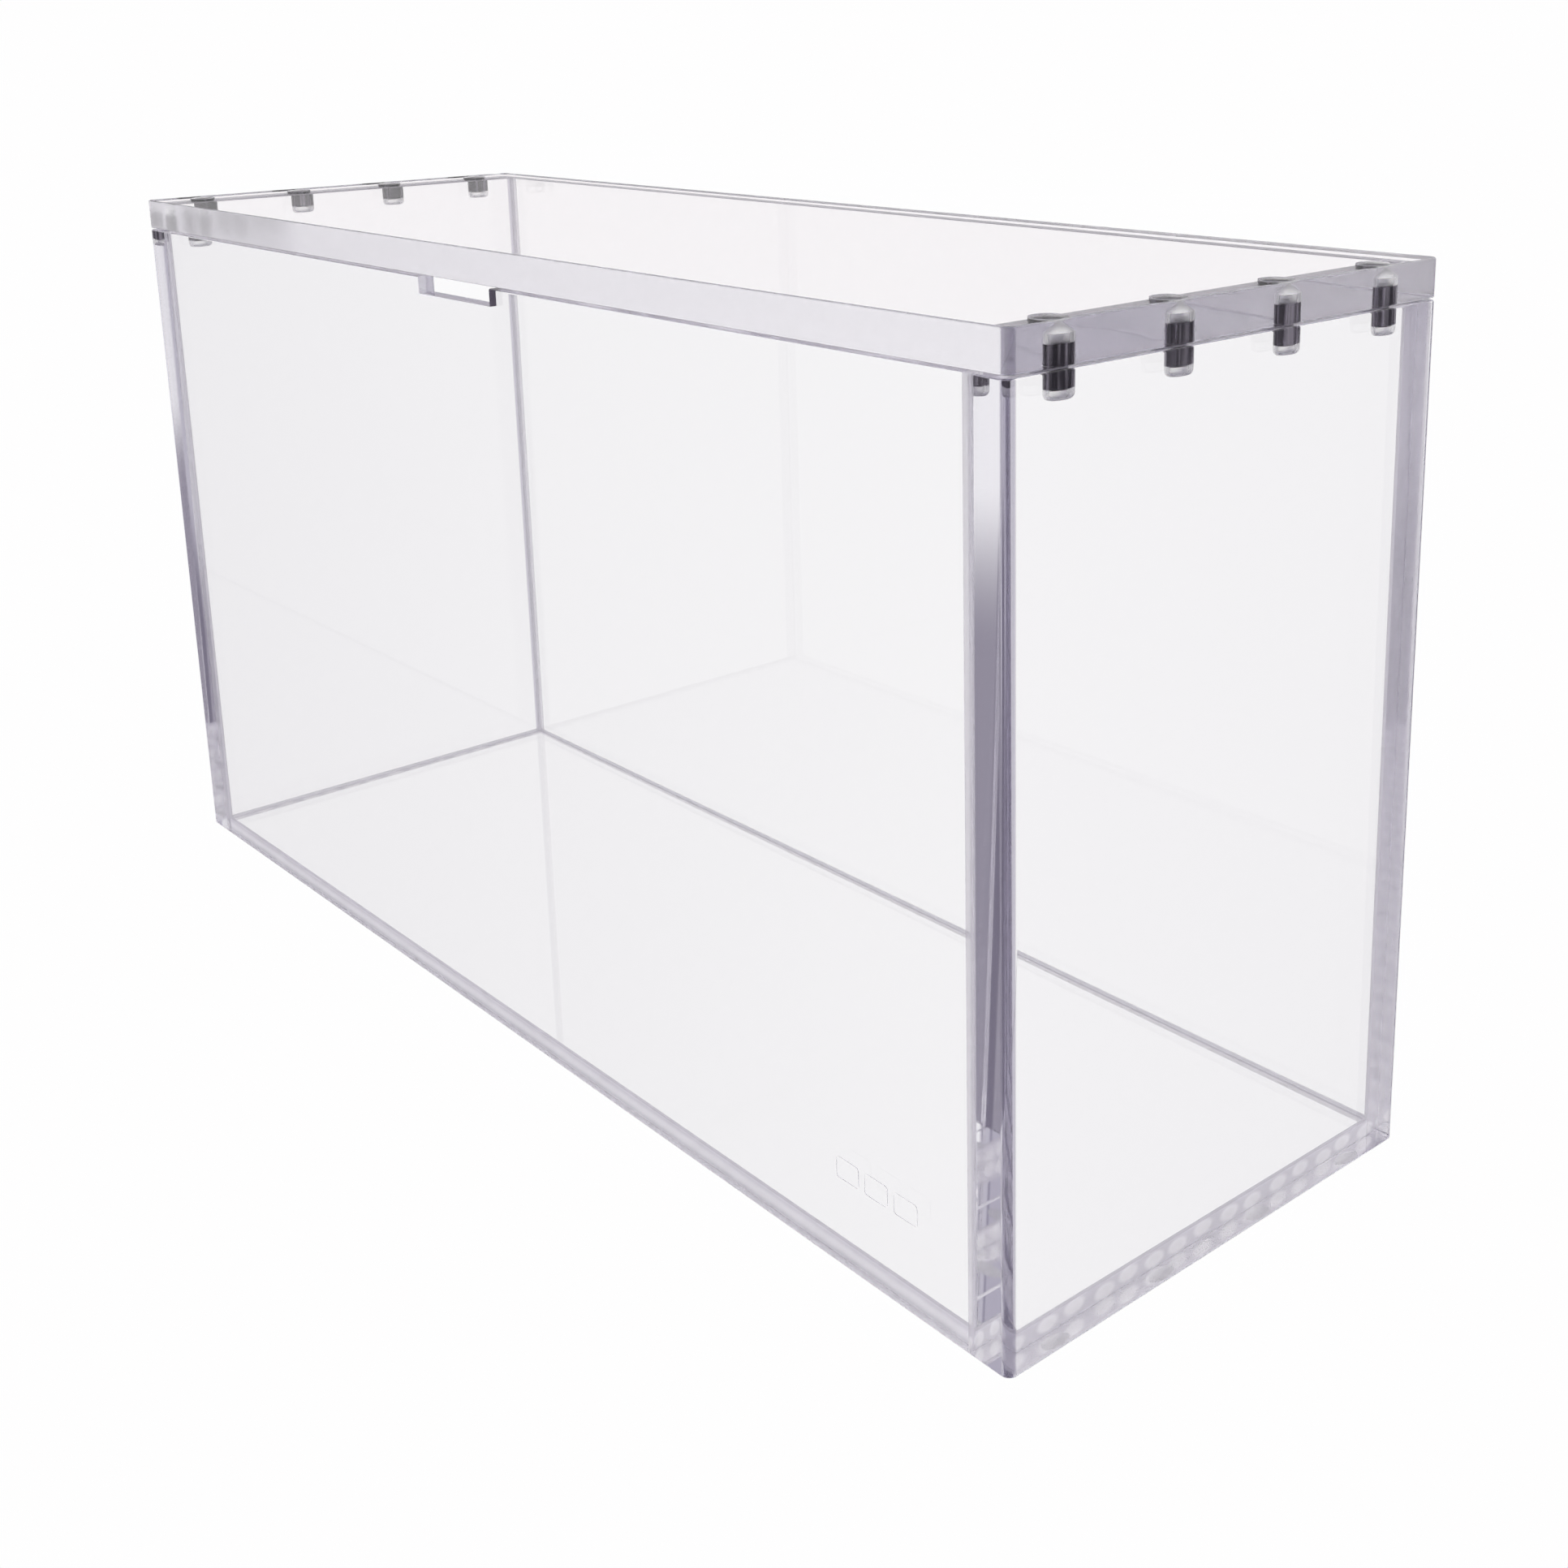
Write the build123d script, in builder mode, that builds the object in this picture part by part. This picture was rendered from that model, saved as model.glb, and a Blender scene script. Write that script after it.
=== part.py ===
from build123d import *
import os
from math import radians, tan

# A clear acrylic case for a row of cards in hard holders. Two thick end panels stand outermost,
# the thinner front and back panels butt between them, and the bottom is let in between all four.
# A loose flat lid lies on top, held by magnet discs in blind bores at each end.
# Millimetres, +Z up. The origin is under the middle of the case, on the surface it stands on,
# with +X to the right along the length and +Y from the front panel to the back panel.

# Overall sizes
case_length = 266.0
case_width = 90.0
case_height = 146.0  # with the lid on

# Acrylic sheets
end_thickness = 8.0
wall_thickness = 3.0  # front and back
bottom_thickness = 3.0
lid_thickness = 6.0
corner_radius = 1.6  # upright outer corners of the end panels and the lid
edge_break = 0.3  # small chamfer along the outer edges that hands meet

# Thumb notch in the front panel's top edge
notch_width = 24.0
notch_depth = 3.0

# Magnet discs
magnets_per_end = 4
magnet_diameter = 5.0
magnet_height = 3.0
magnet_edge = 0.2  # chamfer on both rims of a disc
magnet_proud = 0.15  # each disc stands this far out of its bore, so that disc lands on disc
magnet_gap = 0.02  # between the two discs of a pair
magnet_edge_distance = 11.0  # from the front or back face to the axis of the nearest disc

# Blind bores
bore_clearance = 0.05  # radial, filled with glue
case_bore_spare = 1.3  # empty depth under a disc in an end panel
case_bore_round = 0.8  # radius around the bottom of those bores
drill_tip_angle = 118.0  # full angle of the pointed bores in the lid
lid_skin = 0.5  # material left between a drill point and the lid's top

# Sizes that follow
lid_gap = 2 * magnet_proud + magnet_gap
panel_height = case_height - lid_thickness - lid_gap
lid_bottom = case_height - lid_thickness
inner_length = case_length - 2 * end_thickness
inner_width = case_width - 2 * wall_thickness
wall_centre_y = (case_width - wall_thickness) / 2
end_centre_x = (case_length - end_thickness) / 2
magnet_pitch = (case_width - 2 * magnet_edge_distance) / (magnets_per_end - 1)
bore_radius = magnet_diameter / 2 + bore_clearance
case_bore_depth = magnet_height - magnet_proud + case_bore_spare
drill_tip_height = bore_radius / tan(radians(drill_tip_angle / 2))
lid_bore_depth = lid_thickness - lid_skin - drill_tip_height

sides = {"left": -1, "right": 1}
on_base = (Align.CENTER, Align.CENTER, Align.MIN)


def bore_places(side, z):
    """Axis points of one end's row of bores at height z, from the front to the back."""
    first_y = -case_width / 2 + magnet_edge_distance
    return [
        (side * end_centre_x, first_y + index * magnet_pitch, z)
        for index in range(magnets_per_end)
    ]


def save(name, piece):
    piece.label = name
    export_step(piece, f"parts/{name}.step")


def build_bottom():
    with BuildPart() as bottom:
        Box(inner_length, inner_width, bottom_thickness, align=on_base)
    save("bottom_panel", bottom.part)


def build_wall(name, facing, notched):
    """A long wall; facing is -1 for the front and +1 for the back."""
    with BuildPart() as wall:
        with Locations((0, facing * wall_centre_y, 0)):
            Box(inner_length, wall_thickness, panel_height, align=on_base)
        outer_face = wall.faces().sort_by(Axis.Y)[0 if facing < 0 else -1]
        chamfer(outer_face.edges().filter_by(Axis.X), edge_break)
        if notched:
            with Locations((0, facing * wall_centre_y, panel_height - notch_depth)):
                Box(notch_width, 2 * wall_thickness, 2 * notch_depth, align=on_base, mode=Mode.SUBTRACT)
    save(name, wall.part)


def build_end(name, side):
    """A thick end panel with its blind bores; side is -1 for the left and +1 for the right."""
    outer_x = side * case_length / 2
    inner_x = side * inner_length / 2
    with BuildPart() as end:
        with BuildSketch():
            with Locations((side * end_centre_x, 0)):
                Rectangle(end_thickness, case_width)
            fillet(vertices().filter_by_position(Axis.X, outer_x - 0.01, outer_x + 0.01), corner_radius)
        extrude(amount=panel_height)
        rims = end.faces().filter_by(Axis.Z).edges()
        inner_edges = rims.filter_by_position(Axis.X, inner_x - 0.01, inner_x + 0.01)
        chamfer(rims - inner_edges, edge_break)
        with Locations(*bore_places(side, panel_height)):
            Hole(bore_radius, depth=case_bore_depth)
        floor_z = panel_height - case_bore_depth
        floors = end.edges().filter_by(GeomType.CIRCLE).filter_by_position(Axis.Z, floor_z - 0.01, floor_z + 0.01)
        fillet(floors, case_bore_round)
    save(name, end.part)


def build_lid():
    with BuildPart() as lid:
        with BuildSketch(Plane.XY.offset(lid_bottom)):
            RectangleRounded(case_length, case_width, corner_radius)
        extrude(amount=lid_thickness)
        chamfer(lid.faces().filter_by(Axis.Z).edges(), edge_break)
        for side in sides.values():
            with Locations(*bore_places(side, lid_bottom)):
                Cylinder(bore_radius, lid_bore_depth, align=on_base, mode=Mode.SUBTRACT)
            with Locations(*bore_places(side, lid_bottom + lid_bore_depth)):
                Cone(bore_radius, 0, drill_tip_height, align=on_base, mode=Mode.SUBTRACT)
    save("lid_panel", lid.part)


def build_magnets(prefix, bottom_z):
    """The discs of the case or of the lid, standing on bottom_z, numbered from the front."""
    for side_name, side in sides.items():
        for number, place in enumerate(bore_places(side, bottom_z), start=1):
            with BuildPart() as magnet:
                with Locations(place):
                    Cylinder(magnet_diameter / 2, magnet_height, align=on_base)
                chamfer(magnet.edges().filter_by(GeomType.CIRCLE), magnet_edge)
            save(f"{prefix}_{side_name}_{number}", magnet.part)


os.makedirs("parts", exist_ok=True)
build_bottom()
build_wall("front_panel", facing=-1, notched=True)
build_wall("back_panel", facing=1, notched=False)
for side_name, side in sides.items():
    build_end(f"{side_name}_end_panel", side)
build_lid()
build_magnets("case_magnet", panel_height + magnet_proud - magnet_height)
build_magnets("lid_magnet", lid_bottom - magnet_proud)
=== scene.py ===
import math

import bmesh
import bpy
from mathutils import Euler, Matrix, Vector


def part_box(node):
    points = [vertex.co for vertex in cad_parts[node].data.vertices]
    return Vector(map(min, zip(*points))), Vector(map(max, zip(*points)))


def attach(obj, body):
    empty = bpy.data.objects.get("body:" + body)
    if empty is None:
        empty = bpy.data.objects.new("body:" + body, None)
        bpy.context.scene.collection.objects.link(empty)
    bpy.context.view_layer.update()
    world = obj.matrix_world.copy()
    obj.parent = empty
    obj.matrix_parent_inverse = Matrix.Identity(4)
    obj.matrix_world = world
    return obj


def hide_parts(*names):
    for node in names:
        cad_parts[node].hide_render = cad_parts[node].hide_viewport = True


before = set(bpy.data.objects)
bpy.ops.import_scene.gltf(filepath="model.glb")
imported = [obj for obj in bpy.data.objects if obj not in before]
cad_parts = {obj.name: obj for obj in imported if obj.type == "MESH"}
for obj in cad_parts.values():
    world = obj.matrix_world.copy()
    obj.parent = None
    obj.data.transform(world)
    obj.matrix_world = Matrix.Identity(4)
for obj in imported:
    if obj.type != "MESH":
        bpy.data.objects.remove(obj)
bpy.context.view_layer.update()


# ---- Case shell -------------------------------------------------------------------------------
# The two thick ends, the front, the back and the bottom are cast acrylic sheets. Solvent welds
# them into one clear body, so light passes from sheet to sheet. The ends have blind magnet bores
# in their top edges, and the front has a shallow thumb notch.

class Socket:
    """A shader socket that takes part in Python expressions."""

    def __init__(self, tree, link):
        self.tree, self.link = tree, link

    def math(self, operation, first, second):
        return self.tree.node("ShaderNodeMath", {"operation": operation}, {0: first, 1: second})

    def __add__(self, other):
        return self.math("ADD", self, other)

    def __sub__(self, other):
        return self.math("SUBTRACT", self, other)

    def __rsub__(self, other):
        return self.math("SUBTRACT", other, self)

    def __mul__(self, other):
        return self.math("MULTIPLY", self, other)

    def __truediv__(self, other):
        return self.math("DIVIDE", self, other)

    def beside(self, output):
        """Another output of the same node."""
        return Socket(self.tree, self.link.node.outputs[output])

    def size(self):
        return self.math("ABSOLUTE", self, 0.0)

    def step(self):
        return self.math("GREATER_THAN", self, 0.0)

    __radd__, __rmul__ = __add__, __mul__


class Shader:
    """A material's or a world's node tree, filled through one method."""

    def __init__(self, owner):
        owner.use_nodes = True
        self.nodes, self.links = owner.node_tree.nodes, owner.node_tree.links
        self.nodes.clear()

    def node(self, kind, settings=None, inputs=None, output=0):
        node = self.nodes.new(kind)
        for name, value in (settings or {}).items():
            if name == "stops":
                ramp = node.color_ramp
                while len(ramp.elements) < len(value):
                    ramp.elements.new(1.0)
                for element, (place, colour) in zip(ramp.elements, value):
                    element.position, element.color = place, colour
            else:
                setattr(node, name, value)
        for name, value in (inputs or {}).items():
            if isinstance(value, Socket):
                self.links.new(value.link, node.inputs[name])
            else:
                node.inputs[name].default_value = value
        return Socket(self, node.outputs[output]) if node.outputs else None


mm = 0.001
acrylic_ior = 1.49
clear_tone = (0.978, 0.976, 0.979, 1)
# Painted shade: the darker violet base colour of the rounded corners.
corner_shade_tone = (0.33, 0.31, 0.39, 1)
milk_tone = (0.64, 0.63, 0.65, 1)
handling_haze = 0.012
drill_haze = 0.45
drill_margin = 0.1 * mm
sawn_margin = 0.05 * mm
sawing_depth = 0.04 * mm


def acrylic(name, glare_cut, tint, bores, bore_top, edges=None):
    """Clear cast acrylic: glossy, with light handling marks and a faint violet toner.

    glare_cut is how much of a glancing reflection its finish takes away. bores is the first
    bore's place and the step to the next; below bore_top their walls are matte from the drill.
    edges is where the sawn edges lie, with the haze of the ends and of the long sides, and how
    milky the sides are. The rounded corners get a darker violet base colour, painted shade for
    the dark look that light bent round them gives.
    """
    material = bpy.data.materials.new(name)
    shader = Shader(material)
    place = shader.node("ShaderNodeTexCoord", output=3)
    marks = shader.node(
        "ShaderNodeTexNoise", inputs={"Vector": place, "Scale": 420.0, "Detail": 5.0}
    )
    haze = shader.node(
        "ShaderNodeMapRange", {"interpolation_type": "SMOOTHSTEP"},
        {"Value": marks, "From Min": 0.5, "From Max": 0.75, "To Min": 0.0, "To Max": handling_haze},
    )
    x = shader.node("ShaderNodeSeparateXYZ", inputs={0: place})
    y, z = x.beside(1), x.beside(2)
    first, step = bores
    across = x.size() - abs(first.x)
    along = shader.node(
        "ShaderNodeMath", {"operation": "WRAP"}, {0: y - first.y, 1: step.y / 2, 2: -step.y / 2}
    )
    drilled = ((bore_radius + drill_margin) ** 2 - (across * across + along * along)).step()
    haze = haze + drill_haze * drilled * (bore_top - z).step()
    finish = {}
    if edges:
        half_size, end_haze, side_haze, milkiness = edges
        end = (x.size() - (half_size.x - sawn_margin)).step()
        side = (y.size() - (half_size.y - sawn_margin)).step()
        sawing = shader.node(
            "ShaderNodeTexNoise",
            inputs={
                "Vector": shader.node(
                    "ShaderNodeMapping", inputs={"Vector": place, "Scale": (70, 70, 260)}
                ),
                "Scale": 1.0, "Detail": 1.0,
            },
        )
        haze = haze + end_haze * end + side_haze * side
        finish["Normal"] = shader.node(
            "ShaderNodeBump",
            inputs={"Strength": 1.0, "Distance": sawing_depth, "Height": sawing * (end + side)},
        )
    # Painted shade: the rounded corners fade to a darker violet base colour.
    corner_shade = shader.node(
        "ShaderNodeMapRange", {"interpolation_type": "SMOOTHSTEP"},
        {
            "Value": (x.size() - case_high.x) + (y.size() - case_high.y),
            "From Min": -corner_radius, "From Max": -0.75 * corner_radius,
            "To Min": 0.0, "To Max": 1.0,
        },
    )
    body_colour = shader.node(
        "ShaderNodeMix", {"data_type": "RGBA"},
        {0: corner_shade, 6: clear_tone, 7: corner_shade_tone}, output=2,
    )
    surface = shader.node(
        "ShaderNodeBsdfPrincipled",
        inputs={
            "Base Color": body_colour,
            "Roughness": haze,
            "IOR": acrylic_ior,
            "Transmission Weight": 1.0,
            **finish,
        },
    )
    plain = shader.node(
        "ShaderNodeBsdfRefraction",
        inputs={"Color": tint, "Roughness": haze, "IOR": acrylic_ior, **finish},
    )
    mirrored = shader.node("ShaderNodeFresnel", inputs={"IOR": acrylic_ior})
    glancing = shader.node(
        "ShaderNodeMapRange", {"interpolation_type": "SMOOTHSTEP"},
        {"Value": mirrored, "From Min": 0.06, "From Max": 0.45, "To Min": 0.0, "To Max": 1.0},
    )
    calmed = shader.node(
        "ShaderNodeMixShader",
        inputs={0: glare_cut * glancing * (0.97 - mirrored).step(), 1: surface, 2: plain},
    )
    if edges:
        milk = shader.node("ShaderNodeBsdfDiffuse", inputs={"Color": milk_tone})
        calmed = shader.node("ShaderNodeMixShader", inputs={0: milkiness * side, 1: calmed, 2: milk})
    toner = shader.node(
        "ShaderNodeVolumeAbsorption", inputs={"Color": (0.50, 0.45, 0.62, 1), "Density": 2.4}
    )
    shader.node("ShaderNodeOutputMaterial", inputs={"Surface": calmed, "Volume": toner})
    return material


def block(name, low, high, corner_round=0.0, edge_round=0.0):
    """A rectangular block; its upright edges and its level edges can be rounded."""
    shape = bmesh.new()
    bmesh.ops.create_cube(shape, size=1.0)
    size = [b - a for a, b in zip(low, high)]
    middle = [(a + b) / 2 for a, b in zip(low, high)]
    bmesh.ops.scale(shape, vec=size, verts=shape.verts)
    bmesh.ops.translate(shape, vec=middle, verts=shape.verts)
    for radius, segments, upright in ((corner_round, 6, True), (edge_round, 3, False)):
        if radius:
            edges = [
                e for e in shape.edges
                if (abs(e.verts[0].co.z - e.verts[1].co.z) > 0.5 * size[2]) == upright
            ]
            bmesh.ops.bevel(
                shape, geom=edges, offset=radius, segments=segments, profile=0.5,
                affect="EDGES", clamp_overlap=True,
            )
    mesh = bpy.data.meshes.new(name)
    shape.to_mesh(mesh)
    shape.free()
    return add_piece(name, mesh)


def add_piece(name, mesh):
    piece = bpy.data.objects.new(name, mesh)
    bpy.context.scene.collection.objects.link(piece)
    return piece


def turned(name, profile, steps=48):
    """A solid of revolution about Z from (radius, height) points that start and end on the axis."""
    shape = bmesh.new()
    points = [shape.verts.new((radius, 0, height)) for radius, height in profile]
    edges = [shape.edges.new(pair) for pair in zip(points, points[1:])]
    bmesh.ops.spin(
        shape, geom=points + edges, cent=(0, 0, 0), axis=(0, 0, 1), angle=math.tau, steps=steps
    )
    bmesh.ops.remove_doubles(shape, verts=shape.verts, dist=1e-7)
    bmesh.ops.recalc_face_normals(shape, faces=shape.faces)
    mesh = bpy.data.meshes.new(name)
    shape.to_mesh(mesh)
    shape.free()
    return add_piece(name, mesh)


def arc(centre, radius, start, end, steps):
    """Points of an arc in a profile, with its angles in degrees."""
    angles = [math.radians(start + (end - start) * i / steps) for i in range(steps + 1)]
    return [(centre[0] + radius * math.cos(a), centre[1] + radius * math.sin(a)) for a in angles]


def row_tree():
    """Geometry Nodes that set copies of a piece in a straight row along Y."""
    tree = bpy.data.node_groups.new("row_of_pieces", "GeometryNodeTree")
    face = tree.interface
    face.new_socket("Geometry", in_out="INPUT", socket_type="NodeSocketGeometry")
    for name, kind in (
        ("Count", "NodeSocketInt"), ("Start", "NodeSocketVector"),
        ("Step", "NodeSocketVector"), ("Material", "NodeSocketMaterial"),
    ):
        face.new_socket(name, in_out="INPUT", socket_type=kind)
    face.new_socket("Geometry", in_out="OUTPUT", socket_type="NodeSocketGeometry")
    given = tree.nodes.new("NodeGroupInput")
    line = tree.nodes.new("GeometryNodeMeshLine")
    copies = tree.nodes.new("GeometryNodeInstanceOnPoints")
    real = tree.nodes.new("GeometryNodeRealizeInstances")
    painted = tree.nodes.new("GeometryNodeSetMaterial")
    result = tree.nodes.new("NodeGroupOutput")
    for source, target in (
        (given.outputs["Count"], line.inputs["Count"]),
        (given.outputs["Start"], line.inputs["Start Location"]),
        (given.outputs["Step"], line.inputs["Offset"]),
        (line.outputs["Mesh"], copies.inputs["Points"]),
        (given.outputs["Geometry"], copies.inputs["Instance"]),
        (copies.outputs["Instances"], real.inputs["Geometry"]),
        (real.outputs["Geometry"], painted.inputs["Geometry"]),
        (given.outputs["Material"], painted.inputs["Material"]),
        (painted.outputs["Geometry"], result.inputs["Geometry"]),
    ):
        tree.links.new(source, target)
    return tree


rows = row_tree()


def row(piece, start, step, count, material=None):
    """The row's mesh: the piece repeated, realised and painted."""
    modifier = piece.modifiers.new("row", "NODES")
    modifier.node_group = rows
    values = {"Count": count, "Start": start, "Step": step, "Material": material}
    for item in rows.interface.items_tree:
        if item.in_out == "INPUT" and item.name in values:
            modifier[item.identifier] = values[item.name]
    mesh = finished(piece)
    piece.modifiers.remove(modifier)
    return mesh


def finished(piece):
    """The piece's mesh with its modifiers applied."""
    graph = bpy.context.evaluated_depsgraph_get()
    return bpy.data.meshes.new_from_object(piece.evaluated_get(graph), depsgraph=graph)


def joined(name, meshes):
    """One piece from several meshes."""
    shape = bmesh.new()
    for mesh in meshes:
        shape.from_mesh(mesh)
    mesh = bpy.data.meshes.new(name)
    shape.to_mesh(mesh)
    shape.free()
    return add_piece(name, mesh)


def cut(piece, cutters):
    """Takes the cutters out of the piece, and gives its curved edges smooth normals."""
    for cutter in cutters:
        modifier = piece.modifiers.new("cut", "BOOLEAN")
        modifier.operation, modifier.solver, modifier.object = "DIFFERENCE", "EXACT", cutter
    mesh = finished(piece)
    piece.modifiers.clear()
    for cutter in cutters:
        bpy.data.objects.remove(cutter)
    piece.data = mesh
    smooth(piece)


def smooth(piece, angle=30):
    piece.data.shade_smooth()
    piece.data.set_sharp_from_angle(angle=math.radians(angle))
    even = piece.modifiers.new("even", "WEIGHTED_NORMAL")
    even.keep_sharp, even.weight = True, 100
    mesh = finished(piece)
    piece.modifiers.remove(even)
    piece.data = mesh


def magnet_rows(prefix):
    """First place and step of each end's row of magnets, from the CAD discs."""
    ends = []
    for side in ("left", "right"):
        centres = [sum(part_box(f"{prefix}_{side}_{n}"), Vector()) / 2 for n in (1, 2)]
        ends.append((centres[0], centres[1] - centres[0]))
    return ends


case_low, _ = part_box("left_end_panel")
_, case_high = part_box("right_end_panel")
bottom_low, bottom_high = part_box("bottom_panel")
corner_radius = 1.6 * mm
edge_radius = 0.3 * mm
notch_width = 24 * mm
notch_depth = 3 * mm
bore_clearance = 0.05 * mm
case_bore_spare = 1.3 * mm
case_bore_round = 0.8 * mm
magnets_per_end = 4
lid_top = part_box("lid_panel")[1].z

disc_low, disc_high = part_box("case_magnet_left_1")
disc_radius = (disc_high.x - disc_low.x) / 2
disc_height = disc_high.z - disc_low.z
bore_radius = disc_radius + bore_clearance


def card_outline(name, width, height, corner, groove, depth):
    """A cutter for one engraved card outline: a V groove round a rounded rectangle."""

    def ring(inset, y):
        w, h, r = width / 2 - inset, height / 2 - inset, max(corner - inset, 0.05 * mm)
        points = []
        for start, cx, cz in (
            (0, w - r, h - r), (90, r - w, h - r), (180, r - w, r - h), (270, w - r, r - h),
        ):
            points += arc((cx, cz), r, start, start + 90, 4)
        return [shape.verts.new((width / 2 + px, y, height / 2 + pz)) for px, pz in points]

    shape = bmesh.new()
    rings = [ring(0, -mm), ring(0, 0), ring(groove / 2, depth), ring(groove, 0), ring(groove, -mm)]
    for one, two in zip(rings, rings[1:] + rings[:1]):
        for i in range(len(one)):
            j = (i + 1) % len(one)
            shape.faces.new((one[i], one[j], two[j], two[i]))
    bmesh.ops.recalc_face_normals(shape, faces=shape.faces)
    mesh = bpy.data.meshes.new(name)
    shape.to_mesh(mesh)
    shape.free()
    return add_piece(name, mesh)


case_shell = block("case_shell", case_low, case_high, corner_radius, edge_radius)
chamber = block(
    "chamber", bottom_low.xy.to_3d() + Vector((0, 0, bottom_high.z)),
    (bottom_high.x, bottom_high.y, case_high.z + edge_radius),
)
notch = block(
    "notch", (-notch_width / 2, case_low.y - mm, case_high.z - notch_depth),
    (notch_width / 2, bottom_low.y + mm, case_high.z + mm),
)
floor_z = disc_low.z - case_bore_spare
bore = turned("bore", [
    (0, floor_z),
    *arc((bore_radius - case_bore_round, floor_z + case_bore_round), case_bore_round, -90, 0, 6),
    (bore_radius, case_high.z + mm), (0, case_high.z + mm),
])
bores = joined("bores", [
    row(bore, (first.x, first.y, 0), step, magnets_per_end)
    for first, step in magnet_rows("case_magnet")
])
bpy.data.objects.remove(bore)
# Three engraved card outlines, low on the right of the front.
card_width = 5.4 * mm
card_height = 3.9 * mm
card_corner = 0.7 * mm
card_pitch = 6.4 * mm
card_count = 3
groove_width = 0.4 * mm
groove_depth = 0.11 * mm
mark_low = Vector((
    case_low.x + 0.863 * (case_high.x - case_low.x), case_low.y, 0.100 * lid_top
))
card = card_outline("card", card_width, card_height, card_corner, groove_width, groove_depth)
cards = joined("cards", [row(card, mark_low, (card_pitch, 0, 0), card_count)])
bpy.data.objects.remove(card)
cut(case_shell, [chamber, notch, bores, cards])
clear_acrylic = acrylic(
    "clear_acrylic", 0.5, (0.985, 0.983, 0.985, 1), magnet_rows("case_magnet")[0], case_high.z
)
case_shell.data.materials.clear()
case_shell.data.materials.append(clear_acrylic)
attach(case_shell, "case")
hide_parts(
    "left_end_panel", "right_end_panel", "front_panel", "back_panel", "bottom_panel"
)


# ---- Welds ------------------------------------------------------------------------------------
# Where the sheets meet, the solvent leaves a faint grey film inside the acrylic. The film at
# each end of the bottom panel kept a row of small unwetted patches; they are painted lighter,
# a painted reflection of the light such gaps send back.

film_half = 0.01 * mm
film_inset = 0.05 * mm
patch_pitch = 5.8 * mm
patch_strength = 0.45
# Painted reflection: the near-white tone of the unwetted patches.
gap_glint_tone = (0.99, 0.985, 0.99, 1)


def haze_of(shader, tone):
    """A thin haze that scatters half of its light back and half onwards."""
    near_side = shader.node("ShaderNodeBsdfDiffuse", inputs={"Color": tone})
    far_side = shader.node("ShaderNodeBsdfTranslucent", inputs={"Color": tone})
    return shader.node("ShaderNodeMixShader", inputs={0: 0.5, 1: near_side, 2: far_side})


def weld_finish(name, strength, tone=(0.86, 0.845, 0.885, 1)):
    material = bpy.data.materials.new(name)
    shader = Shader(material)
    place = shader.node("ShaderNodeTexCoord", output=3)
    patches = shader.node(
        "ShaderNodeTexVoronoi", {"voronoi_dimensions": "3D"},
        {
            "Vector": shader.node("ShaderNodeMapping", inputs={
                "Vector": place, "Location": (0.12, 0.0, -0.33), "Scale": (0.01, 1 / patch_pitch, 300),
            }),
            "Scale": 1.0, "Randomness": 0.25,
        },
    )
    patch = shader.node(
        "ShaderNodeMapRange", {"interpolation_type": "SMOOTHSTEP"},
        {"Value": patches, "From Min": 0.46, "From Max": 0.26, "To Min": 0.0, "To Max": 1.0},
    )
    streaks = shader.node(
        "ShaderNodeTexNoise",
        inputs={
            "Vector": shader.node(
                "ShaderNodeMapping", inputs={"Vector": place, "Scale": (160, 160, 90)}
            ),
            "Scale": 1.0, "Detail": 4.0,
        },
    )
    z = shader.node("ShaderNodeSeparateXYZ", inputs={0: place}, output=2)
    bubbled = patch * (bottom_high.z - z).step()
    cover = strength + 0.16 * (streaks - 0.5)
    clear = shader.node("ShaderNodeBsdfTransparent", inputs={"Color": (0.93, 0.925, 0.94, 1)})
    haze = haze_of(shader, tone)
    film = shader.node("ShaderNodeMixShader", inputs={0: cover, 1: clear, 2: haze})
    # Painted reflection: the patches get this lighter haze in place of the light their gaps reflect.
    gap_glint = haze_of(shader, gap_glint_tone)
    spotted = shader.node(
        "ShaderNodeMixShader", inputs={0: patch_strength * bubbled, 1: film, 2: gap_glint}
    )
    shader.node("ShaderNodeOutputMaterial", inputs={"Surface": spotted})
    return material


front_low, front_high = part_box("front_panel")
back_low, back_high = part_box("back_panel")
wall_top = front_high.z - film_inset
creep = 0.6 * mm
films = []
# The last two finishes are painted shade: a grey sheet under the rims and a dark sheet in the notch
# wall.
film_finishes = [
    weld_finish("base_joint", 0.62), weld_finish("upright_joint", 0.32),
    weld_finish("crept_solvent", 0.45), weld_finish("rim_shade_sheet", 0.75, (0.58, 0.56, 0.62, 1)),
    weld_finish("notch_wall_shade", 0.9, (0.15, 0.13, 0.18, 1)),
]
base_joint, upright_joint, crept_film, rim_shade_sheet, notch_wall_shade = film_finishes


def film(one, two, finish):
    low = [min(pair) for pair in zip(one, two)]
    high = [max(pair) for pair in zip(one, two)]
    films.append(block("film", low, high))
    for face in films[-1].data.polygons:
        face.material_index = film_finishes.index(finish)


# The joints themselves: the ends against the walls, then against the bottom, then the walls
# against the bottom.
for x in (bottom_low.x, bottom_high.x):
    for y_low, y_high, z_high in (
        (front_low.y, front_high.y, front_high.z),
        (back_low.y, back_high.y, back_high.z),
        (bottom_low.y, bottom_high.y, bottom_high.z),
    ):
        film(
            (x - film_half, y_low + film_inset, film_inset),
            (x + film_half, y_high - film_inset, z_high - film_inset),
            base_joint if z_high == bottom_high.z else upright_joint,
        )
for y in (bottom_low.y, bottom_high.y):
    film(
        (bottom_low.x + film_inset, y - film_half, film_inset),
        (bottom_high.x - film_inset, y + film_half, bottom_high.z - film_inset), base_joint,
    )
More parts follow.
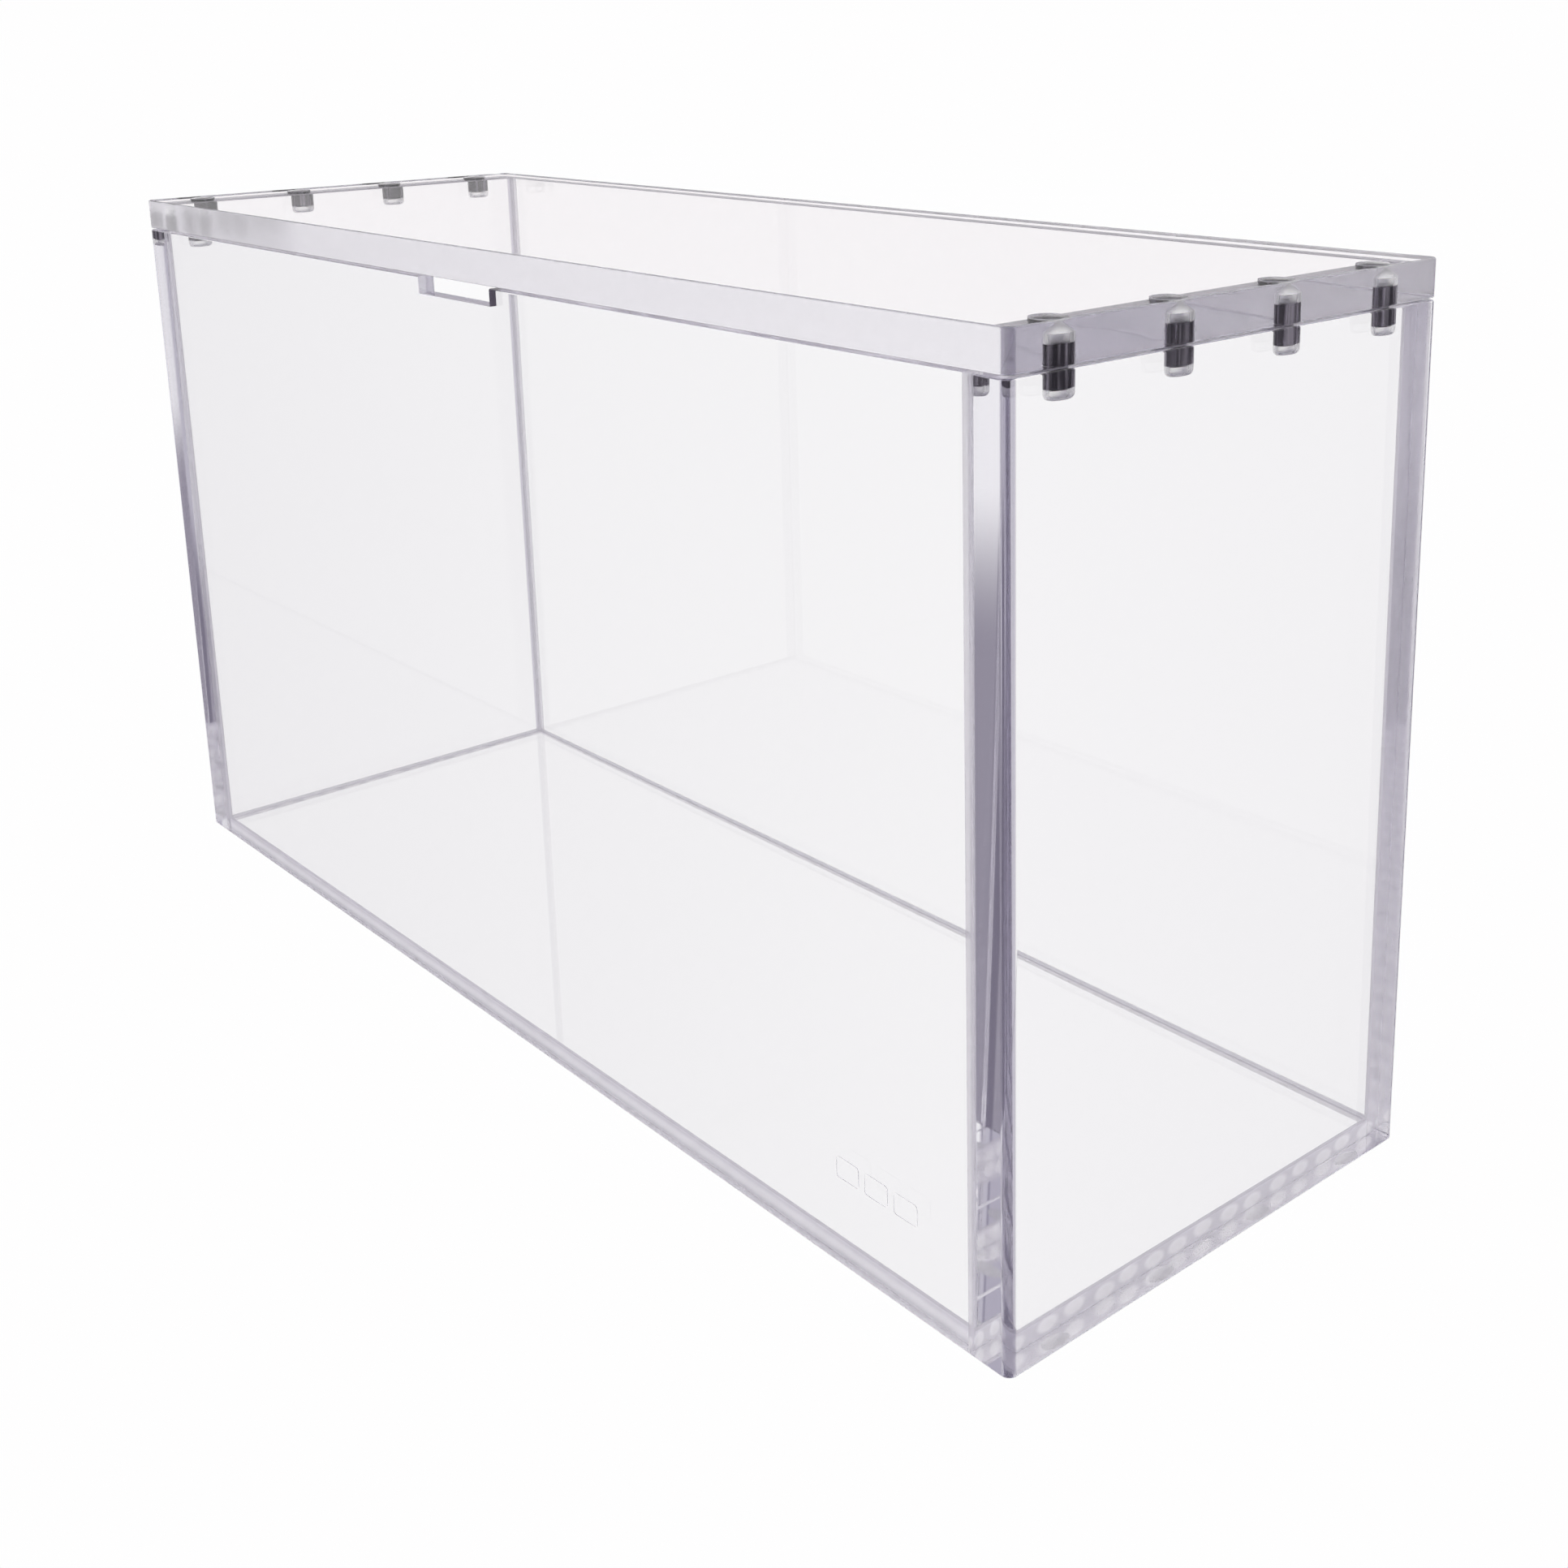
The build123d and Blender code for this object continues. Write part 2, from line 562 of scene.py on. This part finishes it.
# Solvent that crept out of the joints, on the two faces of each inner corner.
base = bottom_high.z
for x in (bottom_low.x, bottom_high.x):
    out_x = math.copysign(1, x)
    skin_x = (x + out_x * film_inset, x + out_x * (film_inset + 2 * film_half))
    film((skin_x[0], bottom_low.y, base), (skin_x[1], bottom_high.y, base + creep), crept_film)
    film(
        (x, bottom_low.y, base - film_inset),
        (x - out_x * creep, bottom_high.y, base - film_inset - 2 * film_half), crept_film,
    )
    for y in (bottom_low.y, bottom_high.y):
        out_y = math.copysign(1, y)
        skin_y = (y + out_y * film_inset, y + out_y * (film_inset + 2 * film_half))
        foot = base + creep + film_inset
        film((skin_x[0], y, foot), (skin_x[1], y - out_y * creep, wall_top), crept_film)
        film((x, skin_y[0], foot), (x - out_x * creep, skin_y[1], wall_top), crept_film)
for y in (bottom_low.y, bottom_high.y):
    out_y = math.copysign(1, y)
    skin_y = (y + out_y * film_inset, y + out_y * (film_inset + 2 * film_half))
    film((bottom_low.x, skin_y[0], base), (bottom_high.x, skin_y[1], base + creep), crept_film)
    film(
        (bottom_low.x + creep + film_inset, y, base - film_inset),
        (bottom_high.x - creep - film_inset, y - out_y * creep, base - film_inset - 2 * film_half),
        crept_film,
    )
# A grey sheet just under the rims of the case is painted shade, for the grey frame that shows through
# the lid.
rim_z = (case_high.z - film_inset - 2 * film_half, case_high.z - film_inset)
rim_edge = 2 * edge_radius
for out_x in (-1, 1):
    film(
        (out_x * (case_high.x - rim_edge), case_low.y + corner_radius, rim_z[0]),
        (out_x * (bottom_high.x + film_inset), case_high.y - corner_radius, rim_z[1]), rim_shade_sheet,
    )
film(
    (bottom_low.x + rim_edge, back_low.y + film_inset, rim_z[0]),
    (bottom_high.x - rim_edge, back_high.y - rim_edge, rim_z[1]), rim_shade_sheet,
)
# A dark sheet in the right wall of the thumb notch is painted shade, for that wall's dark look.
film(
    (notch_width / 2 + film_inset, front_low.y + film_inset, case_high.z - notch_depth),
    (notch_width / 2 + film_inset + 2 * film_half, front_high.y - film_inset, rim_z[0]),
    notch_wall_shade,
)
welds = joined("welds", [piece.data for piece in films])
for piece in films:
    bpy.data.objects.remove(piece)
for finish in film_finishes:
    welds.data.materials.append(finish)
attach(welds, "case")


# ---- Lid --------------------------------------------------------------------------------------
# A loose slab of the same acrylic, twice as thick as the walls. Its underside has eight blind
# bores, and the drill left each of them with a pointed end just under the lid's top.

lid_low, lid_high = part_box("lid_panel")
lid_skin = 0.5 * mm
drill_half_angle = math.radians(118 / 2)
tip_height = bore_radius / math.tan(drill_half_angle)
tip_z = lid_high.z - lid_skin

lid = block("lid", lid_low, lid_high, corner_radius, edge_radius)
drilling = turned("drilling", [
    (0, lid_low.z - mm), (bore_radius, lid_low.z - mm), (bore_radius, tip_z - tip_height), (0, tip_z),
])
drillings = joined("drillings", [
    row(drilling, (first.x, first.y, 0), step, magnets_per_end)
    for first, step in magnet_rows("lid_magnet")
])
bpy.data.objects.remove(drilling)
cut(lid, [drillings])
lid_acrylic = acrylic(
    "lid_acrylic", 0.85, (0.975, 0.965, 0.970, 1), magnet_rows("lid_magnet")[0],
    lid_high.z - 0.4 * mm, edges=(lid_high, 0.04, 0.26, 0.30),
)
lid.data.materials.clear()
lid.data.materials.append(lid_acrylic)
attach(lid, "lid")
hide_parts("lid_panel")


# ---- Magnets ----------------------------------------------------------------------------------
# Sixteen nickel-plated discs, glued into the bores. Each stands a hair proud, so that the lid's
# discs land on those of the case and carry the lid.

disc_edge = 0.2 * mm
glued_radius = bore_radius + 0.01 * mm
disc = turned("disc", [
    (0, -disc_height / 2),
    *arc((glued_radius - disc_edge, disc_edge - disc_height / 2), disc_edge, -90, 0, 3),
    *arc((glued_radius - disc_edge, disc_height / 2 - disc_edge), disc_edge, 0, 90, 3),
    (0, disc_height / 2),
])


def nickel():
    material = bpy.data.materials.new("nickel_painted_dark")
    shader = Shader(material)
    place = shader.node("ShaderNodeTexCoord", output=3)
    # Painted shade and painted reflections: the base colour runs from near black to dark grey in thin
    # vertical streaks, standing in for the dark surroundings the plating mirrors.
    streak_pattern = shader.node(
        "ShaderNodeTexNoise",
        inputs={
            "Vector": shader.node(
                "ShaderNodeMapping", inputs={"Vector": place, "Scale": (1100, 1100, 40)}
            ),
            "Scale": 1.0, "Detail": 2.0,
        },
    )
    tone = shader.node(
        "ShaderNodeValToRGB",
        {"stops": ((0.38, (0.012, 0.010, 0.014, 1)), (0.66, (0.24, 0.22, 0.26, 1)))},
        {0: streak_pattern},
    )
    surface = shader.node(
        "ShaderNodeBsdfPrincipled",
        inputs={"Base Color": tone, "Metallic": 1.0, "Roughness": 0.16 + 0.2 * streak_pattern},
    )
    shader.node("ShaderNodeOutputMaterial", inputs={"Surface": surface})
    return material


nickel_painted_dark = nickel()
for prefix, body in (("case_magnet", "case"), ("lid_magnet", "lid")):
    magnets = joined(f"{body}_magnets", [
        row(disc, first, step, magnets_per_end, nickel_painted_dark) for first, step in magnet_rows(prefix)
    ])
    magnets.data.materials.clear()
    magnets.data.materials.append(nickel_painted_dark)
    smooth(magnets)
    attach(magnets, body)
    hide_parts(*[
        f"{prefix}_{side}_{n + 1}" for side in ("left", "right") for n in range(magnets_per_end)
    ])
bpy.data.objects.remove(disc)


# ---- Studio -----------------------------------------------------------------------------------
# A flat white paper disc under the case, in white surroundings, with nothing else in sight.

scene = bpy.context.scene
paper_white = 0.991
haze_gain = 1.2

floor_mesh = bpy.data.meshes.new("floor")
shape = bmesh.new()
bmesh.ops.create_circle(shape, cap_ends=True, radius=6.0, segments=96)
bmesh.ops.translate(shape, vec=(0, 0, case_low.z - 0.2 * mm), verts=shape.verts)
shape.to_mesh(floor_mesh)
shape.free()
floor = add_piece("floor", floor_mesh)
paper = bpy.data.materials.new("white_paper")
shader = Shader(paper)
path = shader.node("ShaderNodeLightPath", output="Is Reflection Ray")
turns = path.beside("Glossy Depth")
scattered = path.beside("Diffuse Depth").step()
spot = shader.node("ShaderNodeTexCoord", output=3)
reach = shader.node("ShaderNodeVectorMath", {"operation": "LENGTH"}, {0: spot}, output=1)
# Painted shadow: within about 0.22 to 0.42 m of the case the paper turns violet grey for light that
# turned more than twice in the acrylic.
near = shader.node(
    "ShaderNodeMapRange", {"interpolation_type": "SMOOTHSTEP"},
    {"Value": reach, "From Min": 0.42, "From Max": 0.22, "To Min": 0.0, "To Max": 1.0},
)
shaded = 1 - (1 - path) * (1 - near * (turns - 2.5).step())
# Painted shade: the paper is white to the camera and a darker violet grey for reflection rays and in
# the painted shadow.
paper_colour_and_shade = shader.node(
    "ShaderNodeMix", {"data_type": "RGBA"},
    {0: shaded * (1 - scattered), 6: (1, 1, 1, 1), 7: (0.33, 0.31, 0.37, 1)}, output=2,
)
# Painted light: the paper glows, brighter by haze_gain for light scattered off a haze.
glow = shader.node(
    "ShaderNodeEmission",
    inputs={"Color": paper_colour_and_shade, "Strength": paper_white * (1 + haze_gain * scattered)},
)
shader.node("ShaderNodeOutputMaterial", inputs={"Surface": glow})
floor_mesh.materials.append(paper)

world = bpy.data.worlds.new("surroundings")
scene.world = world
shader = Shader(world)
way = shader.node("ShaderNodeTexCoord")
x = shader.node("ShaderNodeSeparateXYZ", inputs={0: way})
y = x.beside(1)
flags = shader.node(
    "ShaderNodeMapRange", {"interpolation_type": "SMOOTHSTEP"},
    {
        "Value": 2 * (x * y) / (x * x + y * y),
        "From Min": 0.6, "From Max": 0.95, "To Min": 0.0, "To Max": 1.0,
    },
)
seen = shader.node("ShaderNodeLightPath", output="Is Camera Ray")
scattered = seen.beside("Diffuse Depth").step()
colour = shader.node(
    "ShaderNodeMix", {"data_type": "RGBA"},
    {0: flags * (1 - seen) * (1 - scattered), 6: (1, 1, 1, 1), 7: (0.50, 0.48, 0.56, 1)}, output=2,
)
sky = shader.node(
    "ShaderNodeBackground",
    inputs={"Color": colour, "Strength": paper_white * (1 + haze_gain * scattered)},
)
shader.node("ShaderNodeOutputWorld", inputs={"Surface": sky})

camera_data = bpy.data.cameras.new("camera")
camera_data.lens = 45.05
camera_data.shift_x, camera_data.shift_y = -0.05, -0.17
camera_data.clip_start, camera_data.clip_end = 0.01, 50
camera = bpy.data.objects.new("camera", camera_data)
turn, tilt, roll = math.radians(49.47), math.radians(14.41), math.radians(-1.15)
aim = Euler((math.pi / 2 - tilt, 0, turn)).to_matrix() @ Matrix.Rotation(roll, 3, "Z")
camera.matrix_world = Matrix.Translation((0.2973, -0.2088, 0.1825)) @ aim.to_4x4()
scene.collection.objects.link(camera)
scene.camera = camera
scene.view_settings.view_transform = "Standard"
scene.cycles.denoising_input_passes = "RGB_ALBEDO"
scene.cycles.max_bounces = 128
scene.cycles.transmission_bounces = 128
scene.cycles.glossy_bounces = 128
scene.cycles.transparent_max_bounces = 32
